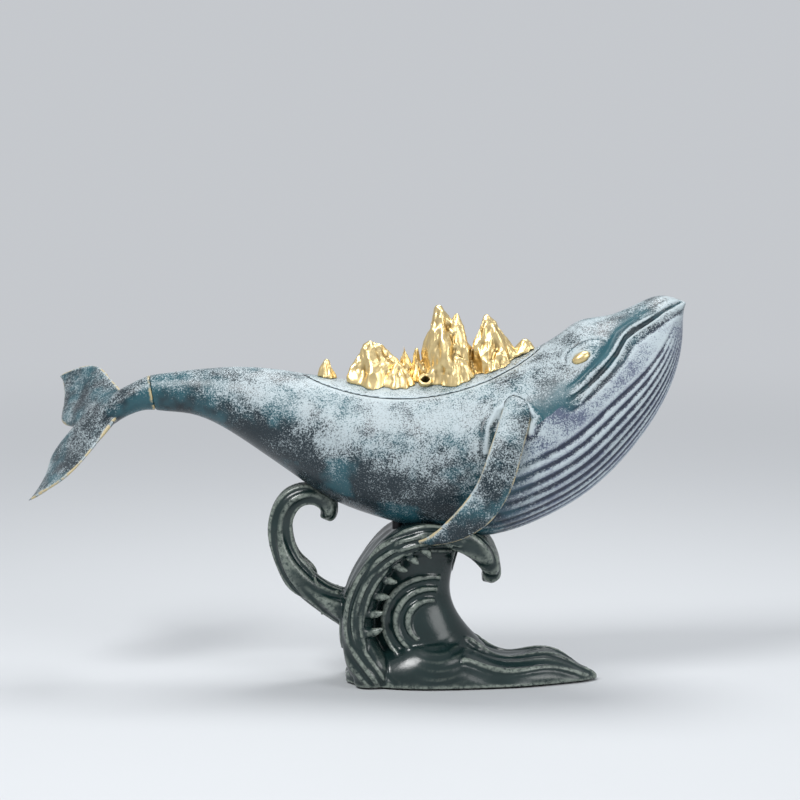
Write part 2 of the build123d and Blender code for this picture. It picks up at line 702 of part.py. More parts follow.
def tongue_ridge(arch_share, side):
    """Ridge along the tongue of water at the foot."""
    points, sizes = [], []
    for x, height, half_width in FOOT_SHARES[3:9]:
        y = side * arch_share[0] * half_width * WAVE_WIDTH / 2
        points.append(Vector(x * WAVE_LENGTH, y, FELT_THICKNESS + arch_share[1] * height * FOOT_HEIGHT))
        sizes.append(TONGUE_DIAMETER * (0.4 + 0.6 * half_width))
    return strand(points, sizes, sizes)


def scroll_ridge(angle, side):
    """Ridge along the side of the scroll."""
    rows = SCROLL_SHARES[1:]
    middle = [wave_point(*row[0:2]) for row in rows]
    turn = math.radians(angle)
    points, sizes = [], []
    for row, place, way in zip(rows, middle, tangents(middle)):
        out = Vector(way.Z, 0, -way.X) * (math.cos(turn) * row[2] * SCROLL_THICKNESS / 2)
        points.append(place + out + Vector(0, side * math.sin(turn) * row[3] * WAVE_WIDTH / 2, 0))
        sizes.append(SCROLL_RIDGE_DIAMETER * row[2])
    return strand(points, sizes, sizes)


def wave_base(seat):
    """Breaking wave in one casting, with a seat for the whale's belly."""
    water = [wave_foot(), wave_column(), band(SCROLL_SHARES, SCROLL_THICKNESS, False)]
    for side in (-1, 1):
        for i in range(CLAW_COUNT):
            water.append(claw(CLAW_FROM_SHARE + (CLAW_TO_SHARE - CLAW_FROM_SHARE) * i / (CLAW_COUNT - 1), side))
        water += [swirl(radius, side) for radius in SWIRL_RADII]
        water += [flow(across, side) for across in FLOW_ACROSS_SHARES]
        water += [tongue_ridge(arch, side) for arch in TONGUE_ARCH_SHARES]
        water += [scroll_ridge(angle, side) for angle in SCROLL_RIDGE_ANGLES]
    whole = band(CREST_SHARES, CREST_THICKNESS, True) + water
    below = Pos(0, 0, FELT_THICKNESS) * Box(
        2 * WAVE_LENGTH, 2 * WAVE_WIDTH, BELLY_HEIGHT, align=(Align.CENTER, Align.CENTER, Align.MAX)
    )
    return whole - [below, seat, *[support_dowel(index, DOWEL_FIT) for index in range(2)]]


def felt_pad():
    """Felt under the foot, a little smaller than it."""
    rows = [(x * WAVE_LENGTH, half * WAVE_WIDTH / 2 * FELT_SHARE) for x, _, half in FOOT_SHARES]
    near = [Vector(x * FELT_SHARE, -reach) for x, reach in rows]
    far = [Vector(x * FELT_SHARE, reach) for x, reach in reversed(rows)]
    return extrude(closed_face(near + far), FELT_THICKNESS)


def build():
    form = whale_form()
    seat = seat_form(GLUE_GAP)
    near_flipper = flipper() - flipper_dowel(DOWEL_FIT)
    parts = {
        "whale_body": whale_body(form),
        "tail_fluke": tail_fluke(),
        "right_flipper": near_flipper,
        "left_flipper": mirrored(near_flipper),
        "right_eye": eye(),
        "left_eye": mirrored(eye()),
        "tail_dowel": tail_dowel(),
        "right_flipper_dowel": flipper_dowel(),
        "left_flipper_dowel": mirrored(flipper_dowel()),
        "rear_support_dowel": support_dowel(0),
        "front_support_dowel": support_dowel(1),
        "burner_tray": burner_tray(),
        "fibre_pad": fibre_pad(),
        "back_lid": back_lid(form),
        "mountain_range": mountain_range(seat),
        "islet_peak": islet_peak(seat),
        "wave_base": wave_base(seat),
        "felt_pad": felt_pad(),
    }
    os.makedirs("parts", exist_ok=True)
    for name, shape in parts.items():
        export_step(shape, f"parts/{name}.step")


build()
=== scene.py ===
"""Looks of the whale figurine: carved detail, paint and gilding, studio floor, lights and camera."""

import math

import bpy
import numpy as np
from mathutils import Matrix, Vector, noise


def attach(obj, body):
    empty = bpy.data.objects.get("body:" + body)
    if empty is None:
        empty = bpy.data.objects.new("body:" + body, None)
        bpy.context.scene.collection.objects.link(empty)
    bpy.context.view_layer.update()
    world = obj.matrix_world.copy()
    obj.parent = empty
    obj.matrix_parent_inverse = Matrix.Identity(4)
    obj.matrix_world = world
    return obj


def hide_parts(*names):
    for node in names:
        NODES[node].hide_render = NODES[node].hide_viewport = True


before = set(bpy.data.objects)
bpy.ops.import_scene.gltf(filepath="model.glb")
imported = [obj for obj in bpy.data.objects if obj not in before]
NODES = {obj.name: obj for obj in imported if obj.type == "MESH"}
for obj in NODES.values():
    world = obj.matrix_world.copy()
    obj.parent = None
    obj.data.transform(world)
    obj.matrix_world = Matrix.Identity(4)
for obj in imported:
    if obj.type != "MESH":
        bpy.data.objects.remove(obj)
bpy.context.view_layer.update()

# The photograph's frame: pixels to metres on the whale's middle plane, and how much lower a pixel row is
# for each metre towards the viewer
METRES_PER_PIXEL = 0.000588
ORIGIN_PIXEL = (470.0, 684.5)
ROWS_PER_METRE = 236.4

# Cell sizes of the carved meshes, in metres
SKIN_CELL = 0.0007
FIN_CELL = 0.0006
WATER_CELL = 0.0008
ROCK_CELL = 0.0006
SOFT_CELL = 0.0008
EYE_CELL = 0.0003

# Face lines of the whale, in pixels of the photograph
MOUTH_PIXELS = [
    (679, 301), (660, 311), (643, 323), (622, 338), (613, 354), (599, 371), (584, 386), (566, 400)
]
COLLAR_PIXELS = [(485, 452), (486, 428), (495, 410), (510, 403), (524, 407), (534, 417), (528, 432)]
EYE_PIXEL = (583.0, 353.0)
EYE_RADII = (10.5, 5.5)
JAW_PIXEL = (556.0, 402.0)
TAIL_JOINT_COLUMN = 153.0
EYE_TILT = math.radians(26.0)


# Sockets of the mix node that take and give colours
MIX_COLOUR_INPUTS = (6, 7)
MIX_COLOUR_OUTPUT = 2


def material(name):
    """New node material with its shader node."""
    mat = bpy.data.materials.new(name)
    mat.use_nodes = True
    return mat, mat.node_tree, mat.node_tree.nodes["Principled BSDF"]


def node(tree, kind, **settings):
    """New node with its settings, and values for its sockets given by their names."""
    new = tree.nodes.new(kind)
    for key, value in settings.items():
        if key in new.inputs:
            new.inputs[key].default_value = value
        else:
            setattr(new, key, value)
    return new


def attribute(tree, name):
    """Value that a carved mesh stores at its points."""
    return node(tree, "ShaderNodeAttribute", attribute_name=name).outputs["Fac"]


def noise_of(tree, scale, detail=4.0, rough=0.6):
    """Noise over the object's own coordinates, with the scale in lumps per metre."""
    place = node(tree, "ShaderNodeTexCoord").outputs["Object"]
    new = node(tree, "ShaderNodeTexNoise", Scale=scale, Detail=detail, Roughness=rough)
    tree.links.new(place, new.inputs["Vector"])
    return new.outputs["Fac"]


def math_of(tree, operation, a, b):
    """Sum, product or other result of two sockets or numbers."""
    new = node(tree, "ShaderNodeMath", operation=operation)
    for index, value in enumerate((a, b)):
        if isinstance(value, (int, float)):
            new.inputs[index].default_value = value
        else:
            tree.links.new(value, new.inputs[index])
    return new.outputs[0]


def step_of(tree, value, low, high):
    """Smooth step of a socket from 0 at low to 1 at high."""
    new = node(tree, "ShaderNodeMapRange", interpolation_type="SMOOTHSTEP")
    tree.links.new(value, new.inputs["Value"])
    new.inputs["From Min"].default_value = low
    new.inputs["From Max"].default_value = high
    return new.outputs["Result"]


def mix_of(tree, factor, a, b):
    """Colour between two colours or sockets."""
    new = node(tree, "ShaderNodeMix", data_type="RGBA")
    tree.links.new(factor, new.inputs["Factor"])
    for key, value in zip(MIX_COLOUR_INPUTS, (a, b)):
        if isinstance(value, tuple):
            new.inputs[key].default_value = (*value, 1.0)
        else:
            tree.links.new(value, new.inputs[key])
    return new.outputs[MIX_COLOUR_OUTPUT]


def bump_of(tree, shader, height, distance, strength):
    """Fine relief in the shading, with its height in metres."""
    new = node(tree, "ShaderNodeBump", Distance=distance, Strength=strength)
    tree.links.new(height, new.inputs["Height"])
    tree.links.new(new.outputs["Normal"], shader.inputs["Normal"])


def roughness_of(tree, shader, value, low, high):
    """Roughness that goes from low to high with a socket."""
    new = node(tree, "ShaderNodeMapRange")
    tree.links.new(value, new.inputs["Value"])
    new.inputs["To Min"].default_value = low
    new.inputs["To Max"].default_value = high
    tree.links.new(new.outputs["Result"], shader.inputs["Roughness"])


# Colours of the paints, metals and pads

TEAL_DARK = (0.006, 0.018, 0.026)
TEAL = (0.018, 0.088, 0.112)
FROST = (0.50, 0.58, 0.61)
# Painted shade in the throat's pleat grooves
LILAC = (0.105, 0.130, 0.205)
GROOVE_SHADE = (0.020, 0.028, 0.055)
PLEAT_WHITE = (0.46, 0.50, 0.56)
RIM_GOLD = (0.52, 0.43, 0.24)
WATER_DARK = (0.004, 0.011, 0.011)
WATER_GREEN = (0.010, 0.030, 0.029)
WATER_BRUSH = (0.26, 0.30, 0.26)
GOLD = (0.80, 0.62, 0.31)
# Brown of the painted shade in the gold's hollows
GOLD_PAINTED_SHADE = (0.34, 0.23, 0.09)
STEEL = (0.45, 0.45, 0.46)
# Near-black steel for the dowels, as painted shade where they show in the gap under the whale
DOWEL_SHADE_STEEL = (0.03, 0.03, 0.032)
FIBRE = (0.68, 0.66, 0.60)
FELT = (0.012, 0.012, 0.014)
FLOOR = (0.62, 0.64, 0.66)

# Skin paint: noise as lumps per metre, detail and roughness, and the steps between which each paint sets in
PATCH_NOISE = (38.0, 3.0, 0.55)
PATCH_STEP = (0.44, 0.62)
LILAC_STEP = (0.36, 0.58)
PLEAT_STEP = (0.52, 0.70)
PLEAT_NOISE = (260.0,)
PLEAT_SHARE = 1.1
CLUMP_NOISE = (70.0, 5.0, 0.65)
CLUMP_SHARE = 0.5
FLECK_NOISE = (1150.0, 5.0, 0.75)
FROST_SHARE = 0.42
# Share of the relief in the speckle: painted highlight on raised skin and painted shade in its hollows
RELIEF_LIGHT_SHARE = 0.45
LEVEL_RIDGE = 0.5
SPECKLE_STEP = (0.885, 1.045)
SPECKLE_SHARE = 0.88
WORN_NOISE = (170.0,)
WORN_STEP = (0.38, 0.55)
SKIN_ROUGHNESS = (0.27, 0.50)
SKIN_BUMP = (0.0004, 0.35)

# Water paint
WATER_NOISE = (45.0,)
BRUSH_STEP = (0.53, 0.80)
BRUSH_SHARE = 0.85
BRUSH_NOISE = (420.0, 5.0, 0.7)
BRUSH_NOISE_STEP = (0.30, 0.60)
WATER_GLOSS_NOISE = (130.0,)
WATER_ROUGHNESS = (0.12, 0.30)
WATER_BUMP_NOISE = (420.0,)
WATER_BUMP = (0.0003, 0.2)

# Gold paint
GOLD_STEP = (0.18, 0.50)
GOLD_GLOSS_NOISE = (300.0, 5.0, 0.7)
GOLD_ROUGHNESS = (0.20, 0.46)
GOLD_BUMP_NOISE = (700.0, 5.0, 0.7)
GOLD_BUMP = (0.0003, 0.3)

# Steel and pads
BRUSHED_STRETCH = (0.04, 1.0, 1.0)
BRUSHED_SCALE = 2600.0
BRUSHED_DETAIL = 3.0
BRUSHED_DARK_SHARE = 0.67
STEEL_ROUGHNESS = 0.34
STEEL_BUMP = (0.0001, 0.3)
NAP_DETAIL = 6.0
NAP_ROUGH = 0.75
NAP_DARK_SHARE = 0.55
NAP_BUMP = (0.0008, 0.8)
FIBRE_ROUGHNESS = 0.95
FELT_NAP = 1500.0
FIBRE_NAP = 900.0


# Materials


def skin_material():
    """Dark teal paint under a dense white speckle, with pale pleats and worn gold rims. The relief also
    paints light: more speckle on raised skin as painted highlight, less in its hollows and dark pleat
    grooves as painted shade.
    """
    mat, tree, shader = material("whale_skin")
    ridge = attribute(tree, "ridge")
    patches = step_of(tree, noise_of(tree, *PATCH_NOISE), *PATCH_STEP)
    base = mix_of(tree, patches, TEAL_DARK, TEAL)
    base = mix_of(tree, attribute(tree, "stain"), base, TEAL)
    # Painted shade: the throat's pleat grooves turn dark, and their pale crests are partly white paint and
    # partly painted highlight
    pleats = mix_of(tree, step_of(tree, ridge, *LILAC_STEP), GROOVE_SHADE, LILAC)
    crest = math_of(tree, "MULTIPLY", step_of(tree, ridge, *PLEAT_STEP), noise_of(tree, *PLEAT_NOISE))
    pleats = mix_of(tree, math_of(tree, "MULTIPLY", crest, PLEAT_SHARE), pleats, PLEAT_WHITE)
    base = mix_of(tree, attribute(tree, "throat"), base, pleats)
    clumps = noise_of(tree, *CLUMP_NOISE)
    flecks = noise_of(tree, *FLECK_NOISE)
    cover = math_of(tree, "MULTIPLY", attribute(tree, "frost_and_light"), FROST_SHARE)
    cover = math_of(tree, "ADD", cover, math_of(tree, "MULTIPLY", clumps, CLUMP_SHARE))
    cover = math_of(tree, "ADD", cover, flecks)
    # Painted light: the speckle grows on raised relief as painted highlight and thins in hollows as painted
    # shade
    relief = math_of(tree, "SUBTRACT", ridge, LEVEL_RIDGE)
    cover = math_of(tree, "ADD", cover, math_of(tree, "MULTIPLY", relief, RELIEF_LIGHT_SHARE))
    speckle_and_light = step_of(tree, cover, *SPECKLE_STEP)
    colour = mix_of(tree, math_of(tree, "MULTIPLY", speckle_and_light, SPECKLE_SHARE), base, FROST)
    wear = step_of(tree, noise_of(tree, *WORN_NOISE), *WORN_STEP)
    worn = math_of(tree, "MULTIPLY", attribute(tree, "rim"), wear)
    colour = mix_of(tree, worn, colour, RIM_GOLD)
    tree.links.new(colour, shader.inputs["Base Color"])
    roughness_of(tree, shader, speckle_and_light, *SKIN_ROUGHNESS)
    bump_of(tree, shader, cover, *SKIN_BUMP)
    return mat


def water_material():
    """Green-black gloss with pale brush strokes on its ridges."""
    mat, tree, shader = material("wave_resin")
    base = mix_of(tree, noise_of(tree, *WATER_NOISE), WATER_DARK, WATER_GREEN)
    high = math_of(tree, "MULTIPLY", step_of(tree, attribute(tree, "ridge"), *BRUSH_STEP), BRUSH_SHARE)
    broken = step_of(tree, noise_of(tree, *BRUSH_NOISE), *BRUSH_NOISE_STEP)
    stroke = math_of(tree, "MULTIPLY", high, broken)
    tree.links.new(mix_of(tree, stroke, base, WATER_BRUSH), shader.inputs["Base Color"])
    roughness_of(tree, shader, noise_of(tree, *WATER_GLOSS_NOISE), *WATER_ROUGHNESS)
    bump_of(tree, shader, noise_of(tree, *WATER_BUMP_NOISE), *WATER_BUMP)
    return mat


def gold_material():
    """Pale gold paint, turned brown in its hollows as painted shade."""
    mat, tree, shader = material("gold_paint")
    # Painted shade: brown in the hollows, full gold on ridges
    lit = step_of(tree, attribute(tree, "ridge"), *GOLD_STEP)
    tree.links.new(mix_of(tree, lit, GOLD_PAINTED_SHADE, GOLD), shader.inputs["Base Color"])
    shader.inputs["Metallic"].default_value = 1.0
    roughness_of(tree, shader, noise_of(tree, *GOLD_GLOSS_NOISE), *GOLD_ROUGHNESS)
    bump_of(tree, shader, noise_of(tree, *GOLD_BUMP_NOISE), *GOLD_BUMP)
    return mat


def steel_material(name, tone):
    """Steel with fine brushing along one way."""
    mat, tree, shader = material(name)
    shader.inputs["Metallic"].default_value = 1.0
    place = node(tree, "ShaderNodeTexCoord").outputs["Object"]
    stretch = node(tree, "ShaderNodeMapping")
    stretch.inputs["Scale"].default_value = BRUSHED_STRETCH
    tree.links.new(place, stretch.inputs["Vector"])
    lines = node(tree, "ShaderNodeTexNoise", Scale=BRUSHED_SCALE, Detail=BRUSHED_DETAIL)
    tree.links.new(stretch.outputs["Vector"], lines.inputs["Vector"])
    dark = tuple(c * BRUSHED_DARK_SHARE for c in tone)
    tree.links.new(mix_of(tree, lines.outputs["Fac"], dark, tone), shader.inputs["Base Color"])
    shader.inputs["Roughness"].default_value = STEEL_ROUGHNESS
    bump_of(tree, shader, lines.outputs["Fac"], *STEEL_BUMP)
    return mat


def fibre_material(name, colour, scale):
    """Pressed fibre or felt with a fine nap."""
    mat, tree, shader = material(name)
    nap = noise_of(tree, scale, NAP_DETAIL, NAP_ROUGH)
    dark = tuple(c * NAP_DARK_SHARE for c in colour)
    tree.links.new(mix_of(tree, nap, dark, colour), shader.inputs["Base Color"])
    shader.inputs["Roughness"].default_value = FIBRE_ROUGHNESS
    bump_of(tree, shader, nap, *NAP_BUMP)
    return mat


# Carving tools

SOFTEN_FACTOR = 0.5
FAR_PIXELS = 1e9


def carved_copy(name, cell, smooth=4):
    """New object with the CAD node's shape on an even fine mesh."""
    mesh = NODES[name].data.copy()
    mesh.materials.clear()
    piece = bpy.data.objects.new(name + "_carved", mesh)
    bpy.context.scene.collection.objects.link(piece)
    remesh = piece.modifiers.new("even", "REMESH")
    remesh.mode = "VOXEL"
    remesh.voxel_size = cell
    remesh.use_smooth_shade = True
    soften = piece.modifiers.new("soften", "SMOOTH")
    soften.factor = SOFTEN_FACTOR
    soften.iterations = smooth
    deps = bpy.context.evaluated_depsgraph_get()
    piece.data = bpy.data.meshes.new_from_object(piece.evaluated_get(deps))
    piece.modifiers.clear()
    return piece


def points_of(piece):
    """Places of a mesh's points, one row each."""
    places = np.zeros(len(piece.data.vertices) * 3)
    piece.data.vertices.foreach_get("co", places)
    return places.reshape(-1, 3)


def normals_of(piece):
    """Ways out of the surface at a mesh's points, one row each."""
    ways = np.zeros(len(piece.data.vertices) * 3)
    piece.data.vertices.foreach_get("normal", ways)
    return ways.reshape(-1, 3)


def push(piece, heights):
    """Move every vertex along its normal by its height in metres."""
    places = points_of(piece) + normals_of(piece) * heights[:, None]
    piece.data.vertices.foreach_set("co", places.ravel())
    piece.data.update()


def store(piece, name, values):
    """Keep a value from 0 to 1 at every point, for the materials."""
    layer = piece.data.attributes.new(name, "FLOAT", "POINT")
    layer.data.foreach_set("value", np.clip(values, 0.0, 1.0).astype(np.float32))


def spread(edges, values, count):
    """Mean of each vertex's neighbours."""
    total = np.zeros(values.shape)
    np.add.at(total, edges[:, 0], values[edges[:, 1]])
    np.add.at(total, edges[:, 1], values[edges[:, 0]])
    return total / count


def ridge_of(piece, passes, gain):
    """How much each vertex stands above its surroundings: 0.5 is level, 1 is a ridge and 0 is a hollow."""
    edges = np.zeros(len(piece.data.edges) * 2, dtype=np.int64)
    piece.data.edges.foreach_get("vertices", edges)
    edges = edges.reshape(-1, 2)
    places = points_of(piece)
    count = np.maximum(np.bincount(edges.ravel(), minlength=len(places)), 1)[:, None]
    level = places
    for _ in range(passes):
        level = spread(edges, level, count)
    height = ((places - level) * normals_of(piece)).sum(1)
    return LEVEL_RIDGE + height * gain


def steps(values, low, high):
    """Smooth step from 0 at low to 1 at high."""
    part = np.clip((values - low) / (high - low), 0.0, 1.0)
    return part * part * (3 - 2 * part)


def pixels_of(places):
    """Where a point shows in the photograph, with both sides of the whale folded on the near one."""
    across = ORIGIN_PIXEL[0] + places[:, 0] / METRES_PER_PIXEL
    down = ORIGIN_PIXEL[1] - places[:, 2] / METRES_PER_PIXEL + ROWS_PER_METRE * np.abs(places[:, 1])
    return np.stack([across, down], axis=1)


def line_distance(pixels, line):
    """Distance in pixels to a line of points, negative on its left-hand side as the photograph shows it."""
    best = np.full(len(pixels), FAR_PIXELS)
    side = np.ones(len(pixels))
    for start, end in zip(line, line[1:]):
        start, way = np.array(start, float), np.subtract(end, start).astype(float)
        off = pixels - start
        part = np.clip((off @ way) / (way @ way), 0.0, 1.0)
        gap = np.linalg.norm(off - part[:, None] * way, axis=1)
        turn = way[0] * off[:, 1] - way[1] * off[:, 0]
        nearer = gap < best
        best = np.where(nearer, gap, best)
        side = np.where(nearer, np.sign(turn), side)
    return best * side


def hump(distance, middle, width):
    """Rounded ridge profile around a distance."""
    return np.exp(-(((distance - middle) / width) ** 2))


# Face: heights in metres, and where each ridge or groove lies as its middle and width, which are pixels for
# the mouth and the collar and eye radii for the lids
SIDE_NORMAL_STEP = (0.12, 0.40)
FACE_BOTTOM = 0.12
MOUTH_FADE = (560.0, 574.0)
MOUTH_GROOVE = (0.0014, 0.0, 1.8)
LIP_GROOVE = (0.0006, 10.0, 2.2)
UPPER_LID_FADE = (-2.0, 3.0)
LID_RIDGE = (0.0003, 1.25, 0.20)
LID_GROOVE = (0.0004, 2.05, 0.16)
BROW_RIDGE = (0.0002, 2.45, 0.25)
COLLAR_RIDGE = (0.0012, 0.0, 3.0)
COLLAR_GROOVE = (0.0003, 6.5, 2.5)


def line(distance, height, middle, width):
    """Rounded line of a height, round a distance."""
    return height * hump(distance, middle, width)


def carve_face(piece):
    """Mouth line with its lips, eyelids, and the collar round the flipper."""
    places = points_of(piece)
    pixels = pixels_of(places)
    outside = steps(np.abs(normals_of(piece)[:, 1]), *SIDE_NORMAL_STEP) * (places[:, 2] > FACE_BOTTOM)
    mouth = line_distance(pixels, MOUTH_PIXELS)
    ahead = steps(pixels[:, 0], *MOUTH_FADE)
    lips = -line(mouth, *MOUTH_GROOVE) - line(np.abs(mouth), *LIP_GROOVE)
    off = pixels - np.array(EYE_PIXEL)
    along = off[:, 0] * math.cos(EYE_TILT) - off[:, 1] * math.sin(EYE_TILT)
    above = -off[:, 0] * math.sin(EYE_TILT) - off[:, 1] * math.cos(EYE_TILT)
    ring = np.hypot(along / EYE_RADII[0], above / EYE_RADII[1])
    upper = steps(above, *UPPER_LID_FADE)
    lids = line(ring, *LID_RIDGE) + (line(ring, *BROW_RIDGE) - line(ring, *LID_GROOVE)) * upper
    collar = line_distance(pixels, COLLAR_PIXELS)
    arch = line(collar, *COLLAR_RIDGE) - line(np.abs(collar), *COLLAR_GROOVE)
    push(piece, outside * (lips * ahead + lids + arch))


# Shares of the skin's paints and of the light and shade painted into its speckle, and where they set in:
# pixels of the photograph, or the upward part of the surface's normal
TAIL_JOINT_WIDTH = 7.0
SKIN_RIDGE_PASSES = 14
SKIN_RIDGE_GAIN = 700.0
THROAT_DEPTH = (5.0, 16.0)
THROAT_START = (470.0, 560.0)
BASE_SHARE = 0.16
# More speckle on up-facing skin: partly dry-brushed white, partly painted light from above
UPWARD_SHARE = 0.32
UPWARD_STEP = (-0.50, 0.55)
FLANK_SHARE = 0.15
FLANK_COLUMN = (400.0, 120.0)
TAIL_SHARE = 0.08
TAIL_COLUMNS = (260.0, 170.0)
JAW_WIDTH = 17.0
STRIPE_ROWS = (11.0, 5.0)
STRIPE_START = (545.0, 562.0)
STRIPE_END = (655.0, 628.0)
STAIN_SHARE = 0.42
# Less speckle on down-facing skin: partly paint, partly painted shade underneath
BELLY_SHARE = 0.16
BELLY_STEP = (-0.15, -0.75)
THROAT_SHARE = 0.10
RIM_GAIN = 500.0
RIM_STEP = (0.60, 0.72)


def paint_skin(piece, lift=0.0, fin=False):
    """Shares of relief, throat, stain, white speckle with painted light on top and painted shade underneath,
    and worn rim on a piece of the whale's skin.
    """
    places, ways = points_of(piece), normals_of(piece)
    pixels = pixels_of(places)
    across = pixels[:, 0]
    on_body = 0.0 if fin else 1.0
    mouth = line_distance(pixels, MOUTH_PIXELS)
    level = 1 - hump(across, TAIL_JOINT_COLUMN, TAIL_JOINT_WIDTH)
    relief = ridge_of(piece, SKIN_RIDGE_PASSES, SKIN_RIDGE_GAIN) - LEVEL_RIDGE
    store(piece, "ridge", LEVEL_RIDGE + relief * level)
    throat = steps(-mouth, *THROAT_DEPTH) * steps(across, *THROAT_START) * on_body
    store(piece, "throat", throat)
    # Partly dry-brushed white and partly painted light: more speckle on faces that look up
    upward = UPWARD_SHARE * steps(ways[:, 2], *UPWARD_STEP)
    flank = FLANK_SHARE * hump(across, *FLANK_COLUMN) - TAIL_SHARE * steps(across, *TAIL_COLUMNS)
    jaw = hump(np.hypot(across - JAW_PIXEL[0], pixels[:, 1] - JAW_PIXEL[1]), 0.0, JAW_WIDTH)
    stripe = hump(mouth, *STRIPE_ROWS) * steps(across, *STRIPE_START) * steps(across, *STRIPE_END)
    stain = np.clip(jaw + stripe, 0.0, 1.0) * on_body
    store(piece, "stain", stain)
    # Partly paint and partly painted shade: less speckle on faces that look down
    belly = BELLY_SHARE * steps(ways[:, 2], *BELLY_STEP) * (1 - throat)
    frost_and_light = BASE_SHARE + upward + flank - STAIN_SHARE * stain - belly + throat * THROAT_SHARE + lift
    store(piece, "frost_and_light", frost_and_light)
    rim = np.zeros(len(places))
    if fin:
        rim = steps(ridge_of(piece, SKIN_RIDGE_PASSES, RIM_GAIN), *RIM_STEP)
    store(piece, "rim", rim)


# Fins: how much less frost each has, and streaks as lumps per metre along each axis
FIN_LIFTS = {"tail_fluke": -0.08, "right_flipper": -0.10, "left_flipper": -0.10}
STREAK_HEIGHT = 0.00025
STREAK_LUMPS = np.array([140.0, 60.0, 60.0])


def carve_fin(name, lift):
    """Fin with shallow streaks along it."""
    piece = carved_copy(name, FIN_CELL)
    heights = [STREAK_HEIGHT * noise.noise(Vector(p * STREAK_LUMPS)) for p in points_of(piece)]
    push(piece, np.array(heights))
    paint_skin(piece, lift, True)
    return piece


# Rock: ridges round cells of two sizes, as lumps per metre along each axis
ROCK_SMOOTH = 2
ROCK_RIDGE_HEIGHT = 0.0016
ROCK_WARP_LUMPS = 90
ROCK_WARP_SHARE = 0.35
ROCK_WARP_SHIFTS = (0, 17.3, 41.7)
ROCK_LARGE_LUMPS = np.array([120.0, 120.0, 55.0])
ROCK_SMALL_LUMPS = np.array([260.0, 260.0, 120.0])
ROCK_SMALL_SHARE = 0.4
ROCK_CLIP = 2.0
ROCK_UP_STEP = (-0.5, 0.0)
ROCK_FOOT = 0.012
ROCK_RIDGE_PASSES = 8
ROCK_RIDGE_GAIN = 650.0


def rock_warp(place):
    """Noise along each axis, from places that are shifted apart."""
    return Vector([noise.noise(place + Vector((shift, 0, 0))) for shift in ROCK_WARP_SHIFTS])


def carve_rock(name):
    """Peaks with sharp ridges that run down between smoother hollows."""
    piece = carved_copy(name, ROCK_CELL, ROCK_SMOOTH)
    places = points_of(piece)
    heights = []
    for p in places:
        warp = rock_warp(Vector(p) * ROCK_WARP_LUMPS) * ROCK_WARP_SHARE
        large = noise.voronoi(Vector(p * ROCK_LARGE_LUMPS) + warp)[0][0]
        small = noise.voronoi(Vector(p * ROCK_SMALL_LUMPS) + warp)[0][0]
        heights.append(large + ROCK_SMALL_SHARE * small)
    heights = np.array(heights)
    heights = np.clip((heights - heights.mean()) / heights.std(), -ROCK_CLIP, ROCK_CLIP)
    low = places[:, 2].min()
    free = steps(normals_of(piece)[:, 2], *ROCK_UP_STEP) * steps(places[:, 2], low, low + ROCK_FOOT)
    push(piece, heights * ROCK_RIDGE_HEIGHT / 2 * free)
    store(piece, "ridge", ridge_of(piece, ROCK_RIDGE_PASSES, ROCK_RIDGE_GAIN))
    return piece


# Water: strands in rings round the swirl, along the scroll and the hooked crest, and along the tongue.
# Names with PIXEL or COLUMN are in pixels of the photograph, the other lengths in metres
WATER_SMOOTH = 3
WATER_WARP_LUMPS = 26
SWIRL_PIXEL = (430.0, 620.0)
SWIRL_FLATTEN = 0.92
STRAND_PIXELS = 8.5
STRAND_DEPTH = 0.016
CURL_WARP_SHARE = 0.7
FLOW_STRAND = 0.0062
FLOW_WARP_SHARE = 0.45
TONGUE_STRAND = 0.011
TONGUE_RISE = 0.024
TONGUE_WARP_SHARE = 0.8
TONGUE_SHARE = 0.6
TONGUE_HEIGHTS = (0.034, 0.016)
TONGUE_START = (-0.035, 0.000)
STRAND_HEIGHT = 0.0011
SWIRL_CALM_PIXELS = (58.0, 70.0)
SCROLL_COLUMN = 342.0
HOOK_PIXEL = (452.0, 588.0)
FLOOR_CLEAR = (0.001, 0.006)
WHALE_CLEAR = (0.098, 0.088)
WATER_RIDGE_PASSES = 10
WATER_RIDGE_GAIN = 700.0


def carve_water(name):
    """Strands that follow the wave's outer curl, its scroll, its hooked crest and the tongue at its foot."""
    piece = carved_copy(name, WATER_CELL, WATER_SMOOTH)
    places = points_of(piece)
    x, y, z = places.T
    pixels = pixels_of(places * np.array([1.0, 0.0, 1.0]))
    warp = np.array([noise.noise(Vector(p) * WATER_WARP_LUMPS) for p in places])
    swirl = np.hypot(pixels[:, 0] - SWIRL_PIXEL[0], (pixels[:, 1] - SWIRL_PIXEL[1]) * SWIRL_FLATTEN)
    on_scroll = pixels[:, 0] < SCROLL_COLUMN
    on_hook = (pixels[:, 0] > HOOK_PIXEL[0]) & (pixels[:, 1] < HOOK_PIXEL[1])
    flow = y / FLOW_STRAND + warp * FLOW_WARP_SHARE
    curl = swirl / STRAND_PIXELS + np.abs(y) / STRAND_DEPTH + warp * CURL_WARP_SHARE
    curl = np.where(on_scroll | on_hook, flow, curl)
    tongue = y / TONGUE_STRAND + z / TONGUE_RISE + warp * TONGUE_WARP_SHARE
    low = steps(z, *TONGUE_HEIGHTS) * steps(x, *TONGUE_START)
    waves = (1 - low) * np.cos(2 * math.pi * curl) + low * TONGUE_SHARE * np.cos(2 * math.pi * tongue)
    under_whale = np.where(on_scroll, 1.0, steps(z, *WHALE_CLEAR))
    calm = np.where(on_scroll | on_hook, 1.0, np.maximum(steps(swirl, *SWIRL_CALM_PIXELS), low))
    push(piece, waves * STRAND_HEIGHT / 2 * steps(z, *FLOOR_CLEAR) * under_whale * calm)
    store(piece, "ridge", ridge_of(piece, WATER_RIDGE_PASSES, WATER_RIDGE_GAIN))
    return piece


